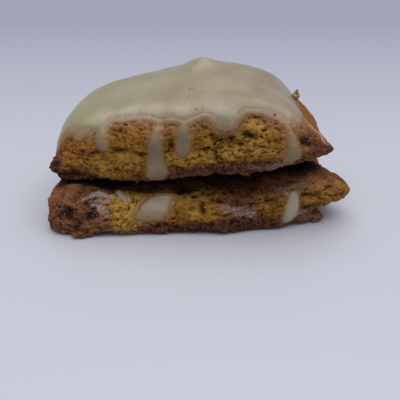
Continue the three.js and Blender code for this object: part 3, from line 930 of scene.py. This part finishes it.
# The icing lies on the dough: its underside sinks in a little, and from its edge it thickens slowly

icingColours = {
    "left": "#a89e76",
    "right": "#9c886d",
    "pale": "#b9af93",
    "lump": "#bfb29a",
    "margin": "#a58259",
    "overCrumb": "#7c5b20",
    "overCrust": "#824f24",
    "run": "#6f5f4b",
    "wet": "#6e6055",
}

icingSettings = {
    "grain": 0.4 * mm,
    "smoothing": 6,
    "lastSmoothing": 5,
    "shellLimit": 6 * mm,  # how far bare dough is looked for
    "bareFrom": 0.62 * mm,  # from the widened icing
    "rimBand": 0.3,  # mm in from the rim, where side walls count as underside
    "underFacing": 0.3,  # how far a face has to look down to the dough for it, further in, or up by the rim
    "sunk": 0.4,  # mm its underside goes in
    "spread": 0.6,  # mm it is widened by, so that its sides end under the dough's surface
    "rimPlace": 0.85,  # mm in from the bare dough
    "rimReach": 0.5,  # mm in from there the dough shows through it
    "edgeHeight": 0.02,
    "edgeSlope": 0.34,
    "edgeCurve": 1.25,  # 1 for a straight slope, more for a flatter rim
    "sampling": 0.4 * mm,  # apart on the dough, to find the rim by
    "ragged": 0.35,  # mm its rim wanders
    "raggedSize": 1.3 * mm,
    "evened": 6,
    "levelled": 14,
    "coverReach": {"icing": 3.2, "icing_patch_middle": 3.0, "icing_patch_right": 1.1},  # mm in from its rim
    "wet": [  # x, y, z, reach in mm and strength
        (-10.1, -27.5, 15.0, 2.4, 0.8),
        (21.9, -28.0, 18.2, 1.6, 0.5),
    ],
    "run": [  # x, y, z, reach in mm and strength of the brownish drips
        (-24, -24, 21, 3.0, 0.4),
        (-11, -26, 21, 3.6, 0.75),
        (-4, -25, 24, 2.4, 0.7),
        (-4, -26, 21, 2.6, 0.6),
        (21.9, -27.5, 20.5, 3, 0.6),
        (-12, -27, 7.5, 5, 0.3),
        (-12, -25, 9.5, 3, 0.3),
    ],
    "sheer": [  # x, y, z, reach in mm and how much thinner it looks
        (-34, -20, 22, 3.0, 0.35),
        (-28, -22, 24, 2.5, 0.3),
        (-18.5, -22.5, 26, 2.2, 0.35),
        (-15, -23, 26, 2.0, 0.35),
        (-6.5, -24, 26.5, 1.8, 0.35),
        (0, -24, 27.5, 2.2, 0.35),
        (11, -23.5, 29.2, 2.0, 0.45),
        (15, -24, 29, 2.6, 0.6),
        (20, -24.5, 28, 2.5, 0.5),
    ],
    "lumps": [  # x, y, z, reach in mm and strength of the thick pale places
        (-23.5, -18.0, 28.4, 2.0, 1.0),
        (-17.0, -19.2, 28.8, 3.0, 1.0),
        (-13.3, -20.6, 28.3, 2.5, 1.0),
        (-10.9, -19.3, 29.9, 2.2, 1.0),
        (-4.5, -21.0, 30.0, 2.6, 1.0),
        (1.2, -22.1, 30.0, 2.4, 0.8),
        (5.2, -21.8, 30.8, 2.6, 0.6),
        (8.3, -23.2, 29.8, 1.8, 0.7),
        (21.4, -23.1, 28.8, 1.6, 1.0),
        (1.4, 5.0, 35.6, 3.0, 0.8),
        (23.5, -25.0, 7.0, 4.0, 0.8),
    ],
}

icingPatterns = {
    "cloud": (10 * mm, 1.5, (1, 1, 1)),
    "streaks": (1.6 * mm, 3.0, (1, 1, 0.35)),
    "patches": (0.7 * mm, 3.0, (1, 1, 1)),
}

icingSteps = {
    "drift": (0.3, 0.7, -0.28, 0.28),
    "patchy": (0.35, 0.65, -0.35, 0.15),
    "right": (-26 * mm, 16 * mm, 0.0, 1.0),
    "pale": (0.3, 0.7, 0.0, 0.8),
    "milky": (0.3, 0.6, 0.3, 1.0),
    "body": (0.05, 0.9, 0.0, 1.0),
    "overCrust": (0.2, 0.6, 0.0, 1.0),
    "thin": (0.1, 0.9, 0.0, 0.9),
    "satin": (0.1, 0.8, 0.2, 0.32),
}


# Values at the vertices, averaged with their neighbours' some times over
def evened(mesh, values, times):
    ends = np.empty(len(mesh.edges) * 2, dtype=np.int32)
    mesh.edges.foreach_get("vertices", ends)
    a, b = ends[::2], ends[1::2]
    count = np.bincount(ends, minlength=len(values))
    for n in range(times):
        around = np.bincount(a, values[b], len(values)) + np.bincount(b, values[a], len(values))
        values = 0.5 * values + 0.5 * around / np.maximum(count, 1)
    return values


# Places on a dough node that the widened icing leaves bare
def bareDough(doughNode, shell, settings):
    samples = remeshed(mergedCopy(doughNode, "samples"), settings["sampling"], 0)
    spots = vertexArray(samples.data)
    spots = spots[distanceTo(shell, spots, settings["shellLimit"]) > settings["bareFrom"]]
    bpy.data.objects.remove(samples)
    bareSpots = KDTree(len(spots))
    for n, spot in enumerate(spots):
        bareSpots.insert(spot, n)
    bareSpots.balance()
    return bareSpots


def settledIcing(nodeName, pieceName, settings, material):
    doughNode = icingNodes[nodeName]
    piece = remeshed(mergedCopy(nodeName, pieceName), settings["grain"], settings["smoothing"])
    mesh = piece.data
    points, normals = vertexArray(mesh), vertexArray(mesh, "normal")
    layer = {"upper_layer": upperLayer, "lower_layer": lowerLayer}[doughNode].data
    surface = surfaceTree(layer)
    browned = fieldValues(layer, "browned")
    points = points + normals * settings["spread"] * mm
    moveVertices(mesh, points)
    bareSpots = bareDough(doughNode, surfaceTree(mesh), settings)

    # Nearest dough to each vertex, how high above it and how far in from the rim
    ground, away = np.zeros(points.shape), np.zeros(points.shape)
    height, inward, beneath = np.zeros(len(points)), np.zeros(len(points)), np.zeros(len(points))
    for n, p in enumerate(points):
        near, facing, face, gap = surface.find_nearest(Vector(p))
        ground[n], away[n] = near, (Vector(p) - near).normalized()
        height[n] = gap / mm - skinGap - settings["spread"]
        ragged = settings["ragged"] * noise.noise(near / settings["raggedSize"])
        inward[n] = bareSpots.find(near)[2] / mm - settings["rimPlace"] + ragged
        beneath[n] = browned[layer.polygons[face].vertices[0]]
    inward = evened(mesh, inward, settings["evened"])
    storeField(mesh, "beneath", evened(mesh, beneath, settings["evened"]))
    storeField(mesh, "rim", rise(settings["rimReach"], 0, inward))
    storeField(mesh, "cover", rise(0, settings["coverReach"][nodeName], inward))

    slope = settings["edgeSlope"] * np.abs(inward) ** settings["edgeCurve"]
    edge = settings["edgeHeight"] + np.copysign(slope, inward)
    outwards = np.einsum("ij,ij->i", normals, away)
    facing = settings["underFacing"]
    under = outwards < np.where(inward > settings["rimBand"], -facing, facing)
    height = evened(mesh, np.where(under, edge, np.minimum(height, edge)), settings["levelled"])
    height[under] = -settings["sunk"]
    moveVertices(mesh, ground + away * height[:, None] * mm)
    soften(piece, settings["lastSmoothing"])
    applyModifiers(piece)
    mesh = piece.data
    points = vertexArray(mesh)
    for name in ("lumps", "sheer", "run", "wet"):
        storeField(mesh, name, strongest(points, settings[name]))
    mesh.materials.append(material)
    mesh.shade_smooth()
    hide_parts(nodeName)
    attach(piece, "root")
    return piece


icingMaterial = pouredIcing("poured sugar icing", icingColours, icingPatterns, icingSteps)
icingCoat = settledIcing("icing", "icing_coat", icingSettings, icingMaterial)
settledIcing("icing_patch_middle", "icing_run", icingSettings, icingMaterial)
settledIcing("icing_patch_right", "icing_strip", icingSettings, icingMaterial)
print("icing", len(icingCoat.data.polygons))


# Small things that lie on it: sugar grains on the dark bands, crumbs on the torn side, seeds in the icing

scatterInputs = {
    "Density": 1.0,
    "Seed": 1,
    "Smallest": 0.3 * mm,
    "Largest": 0.5 * mm,
    "Roughness": 0.3,
}

scatterShape = {
    "turned": (6.3, 6.3, 6.3),  # a little over a full turn about each axis
    "squashed": (0.4, 0.4, 0.4),
    "stretched": (1.2, 1.2, 1.2),
    "wobbleSize": 0.35 * mm,
}

sugarSettings = {"Density": 0.8e6, "Seed": 4, "Smallest": 0.14 * mm, "Largest": 0.3 * mm, "Roughness": 0.5}
sugarColour = "#74503a"
crumbSettings = {"Density": 1.6e5, "Seed": 9, "Smallest": 0.2 * mm, "Largest": 0.45 * mm, "Roughness": 1.4}
crumbLook = {  # dry and matt
    "grainSize": 0.5 * mm,
    "fromTo": (0.35, 0.65),
    "dark": "#94601f",
    "light": "#d0a048",
    "roughness": 0.9,
}


def scatterTree(fieldName, shape):
    tree = bpy.data.node_groups.new("scatter by " + fieldName, "GeometryNodeTree")
    add = partial(addNode, tree)
    face = tree.interface
    face.new_socket("Geometry", in_out="INPUT", socket_type="NodeSocketGeometry")
    for name, value in scatterInputs.items():
        kind = "NodeSocketInt" if name == "Seed" else "NodeSocketFloat"
        face.new_socket(name, in_out="INPUT", socket_type=kind).default_value = value
    for name in ("Upper", "Lower"):
        face.new_socket(name, in_out="INPUT", socket_type="NodeSocketObject")
    face.new_socket("Material", in_out="INPUT", socket_type="NodeSocketMaterial")
    face.new_socket("Geometry", in_out="OUTPUT", socket_type="NodeSocketGeometry")
    source = add("NodeGroupInput").node.outputs

    ground = add("GeometryNodeJoinGeometry")
    for name in ("Upper", "Lower"):
        layer = add("GeometryNodeObjectInfo", {"Object": source[name]}, output="Geometry")
        tree.links.new(layer, ground.node.inputs[0])
    share = add("GeometryNodeInputNamedAttribute", {"Name": fieldName}, data_type="FLOAT")
    density = add("ShaderNodeMath", (share, source["Density"]), operation="MULTIPLY")
    inputs = {"Mesh": ground, "Density": density, "Seed": source["Seed"]}
    spots = add("GeometryNodeDistributePointsOnFaces", inputs)

    turned = {0: (0, 0, 0), 1: shape["turned"]}
    turned = add("FunctionNodeRandomValue", turned, data_type="FLOAT_VECTOR")
    squashed = {0: shape["squashed"], 1: shape["stretched"]}
    squashed = add("FunctionNodeRandomValue", squashed, data_type="FLOAT_VECTOR")
    size = {2: source["Smallest"], 3: source["Largest"]}
    size = add("FunctionNodeRandomValue", size, output=1, data_type="FLOAT")
    grown = add("ShaderNodeVectorMath", {0: squashed, "Scale": size}, operation="SCALE")
    pebble = add("GeometryNodeMeshIcoSphere", {"Radius": 1.0, "Subdivisions": 1})
    inputs = {"Points": spots, "Instance": pebble, "Rotation": turned, "Scale": grown}
    placed = add("GeometryNodeInstanceOnPoints", inputs)
    solid = add("GeometryNodeRealizeInstances", (placed,))

    place = add("GeometryNodeInputPosition")
    wobble = add("ShaderNodeTexNoise", {"Vector": place, "Scale": 1 / shape["wobbleSize"]}, output="Color")
    wobble = add("ShaderNodeVectorMath", (wobble, (0.5, 0.5, 0.5)), operation="SUBTRACT")
    reach = add("ShaderNodeMath", (source["Roughness"], source["Largest"]), operation="MULTIPLY")
    offset = add("ShaderNodeVectorMath", {0: wobble, "Scale": reach}, operation="SCALE")
    moved = add("GeometryNodeSetPosition", {"Geometry": solid, "Offset": offset})
    dressTree(tree, moved, source["Material"])
    return tree


def scatter(pieceName, fieldName, settings, material):
    piece = newPiece(pieceName, bpy.data.meshes.new(pieceName))
    tree = scatterTree(fieldName, scatterShape)
    runTree(piece, tree, Upper=upperLayer, Lower=lowerLayer, Material=material, **settings)
    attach(piece, "root")
    return piece


sugarGrains = scatter("sugar_grains", "sugar", sugarSettings, sugarCrystal(sugarColour))
crumbs = scatter("loose_crumbs", "crumbly", crumbSettings, grainyDough("loose scone crumb", crumbLook))
print("sugar", len(sugarGrains.data.polygons), "crumbs", len(crumbs.data.polygons))

seedSettings = {
    "colour": "#241a12",
    "size": 0.24 * mm,
    "shape": (1.3, 0.75, 0.35),  # length, width and thickness in sizes
    "turn": 2.4,  # radians from one seed to the next
    "above": 60 * mm,  # from where it is dropped on the icing
    "seeds": [  # x, y in mm and how large
        (-2.5, -12.5, 1.3),
        (-1.7, -12.9, 0.9),
        (-2.7, -15.9, 0.9),
        (0.7, -15.3, 0.6),
        (-0.9, -21.2, 1.0),
        (-4.6, -19.7, 0.6),
        (-1.1, 3.5, 0.9),
        (4.8, 2.7, 0.6),
        (9.1, 7.0, 0.7),
        (17.8, -22.5, 1.5),
        (6.0, -20.8, 0.6),
        (-9.0, 11.0, 1.0),
        (12.5, 14.0, 0.8),
        (-16.0, 3.0, 0.7),
        (3.0, 20.0, 1.1),
        (19.0, -3.0, 0.7),
        (-6.0, 16.5, 0.8),
    ],
}


def vanillaSeeds(settings):
    work = bmesh.new()
    icing = surfaceTree(icingCoat.data)
    for n, (x, y, large) in enumerate(settings["seeds"]):
        above = Vector((x * mm, y * mm, settings["above"]))
        spot, facing, face, gap = icing.ray_cast(above, Vector((0, 0, -1)))
        size = settings["size"] * large
        tilt = facing.to_track_quat("Z", "Y").to_matrix().to_4x4()
        turn = tilt @ Matrix.Rotation(settings["turn"] * n, 4, "Z")
        shape = Matrix.Diagonal((*(share * size for share in settings["shape"]), 1))
        place = Matrix.Translation(spot) @ turn @ shape
        bmesh.ops.create_icosphere(work, subdivisions=1, radius=1, matrix=place)
    mesh = bpy.data.meshes.new("vanilla_seeds")
    work.to_mesh(mesh)
    work.free()
    mesh.materials.append(vanillaSeed(settings["colour"]))
    piece = newPiece("vanilla_seeds", mesh)
    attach(piece, "root")


vanillaSeeds(seedSettings)
print("seeds set")

flakeSettings = {
    "place": (25.9, 1.2, 25.6),  # mm, where the crust stands up at the right end of the icing
    "halfSize": (1.0, 1.1, 2.0),
    "lean": math.radians(14),
    "ragged": 0.6,
    "raggedSize": 1.1,
    "seed": 10,
}

flakeLook = {  # crust with a skin of icing dried on it
    "grainSize": 0.7 * mm,
    "fromTo": (0.4, 0.6),
    "dark": "#80592a",
    "light": "#b3a184",
    "roughness": 0.4,
}


def crustFlake(settings):
    noise.seed_set(settings["seed"])
    work = bmesh.new()
    bmesh.ops.create_icosphere(work, subdivisions=4, radius=1)
    turn = Matrix.Rotation(settings["lean"], 4, "Y")
    for vertex in work.verts:
        spot = Vector(a * b for a, b in zip(vertex.co, settings["halfSize"]))
        spot += noise.noise_vector(spot / settings["raggedSize"]) * settings["ragged"]
        vertex.co = (turn @ spot + Vector(settings["place"])) * mm
    mesh = bpy.data.meshes.new("crust_flake")
    work.to_mesh(mesh)
    work.free()
    mesh.materials.append(grainyDough("iced crust flake", flakeLook))
    mesh.shade_smooth()
    piece = newPiece("crust_flake", mesh)
    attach(piece, "root")


crustFlake(flakeSettings)
print("flake set")


# Floor, light and camera

stageSettings = {
    "floorSize": 30.0,  # metres
    "floorNear": "#dadce7",
    "floorFar": "#b4b7cb",
    # painted shade: the floor darkens from near to far, where the light falls off
    "floorShadeFade": (20 * mm, 200 * mm),  # behind the scone's middle
    "keyPlace": (0.03, 0.04, 0.5),
    "keyAngle": math.radians(76),  # how wide the light looks from the scone
    "keyStrength": 1.85,
    "skyColour": "#e9ecf8",
    "skyStrength": 0.32,
}

cameraSettings = {
    "lookedAt": (0.0, -10.5 * mm, 0.0),
    "distance": 180 * mm,
    "pitch": math.radians(28),
    "viewAngle": math.radians(34),
}


def makeFloor(settings):
    half = settings["floorSize"] / 2
    mesh = bpy.data.meshes.new("floor")
    corners = [(-half, -half, 0), (half, -half, 0), (half, half, 0), (-half, half, 0)]
    mesh.from_pydata(corners, [], [(0, 1, 2, 3)])
    floor = newPiece("floor", mesh)
    material, tree, shader = newMaterial("glazed white tabletop")
    place = addNode(tree, "ShaderNodeTexCoord", output="Object")
    away = addNode(tree, "ShaderNodeSeparateXYZ", (place,), output=1)
    # Painted shade: the floor goes darker with distance behind the scone
    share = addNode(tree, "ShaderNodeMapRange", (away, *settings["floorShadeFade"], 0.0, 1.0))
    tones = {0: share, 6: linearColour(settings["floorNear"]), 7: linearColour(settings["floorFar"])}
    colour = addNode(tree, "ShaderNodeMix", tones, output=2, data_type="RGBA")
    feed(shader, {"Base Color": colour, "Roughness": 0.3})
    mesh.materials.append(material)


def makeLights(settings):
    light = bpy.data.lights.new("soft overhead light", "SUN")
    light.angle = settings["keyAngle"]
    light.energy = settings["keyStrength"]
    key = bpy.data.objects.new("soft overhead light", light)
    key.location = settings["keyPlace"]
    key.rotation_euler = (-Vector(settings["keyPlace"])).to_track_quat("-Z", "Y").to_euler()
    scene.collection.objects.link(key)
    world = bpy.data.worlds.new("studio")
    world.use_nodes = True
    background = world.node_tree.nodes["Background"]
    background.inputs["Color"].default_value = linearColour(settings["skyColour"])
    background.inputs["Strength"].default_value = settings["skyStrength"]
    scene.world = world


def makeCamera(settings):
    lens = bpy.data.cameras.new("camera")
    lens.angle = settings["viewAngle"]
    lens.clip_start = 5 * mm
    camera = bpy.data.objects.new("camera", lens)
    pitch = settings["pitch"]
    back = Vector((0, -math.cos(pitch), math.sin(pitch))) * settings["distance"]
    camera.location = Vector(settings["lookedAt"]) + back
    camera.rotation_euler = (math.pi / 2 - pitch, 0, 0)
    scene.collection.objects.link(camera)
    scene.camera = camera


makeFloor(stageSettings)
makeLights(stageSettings)
makeCamera(cameraSettings)
print("stage set")
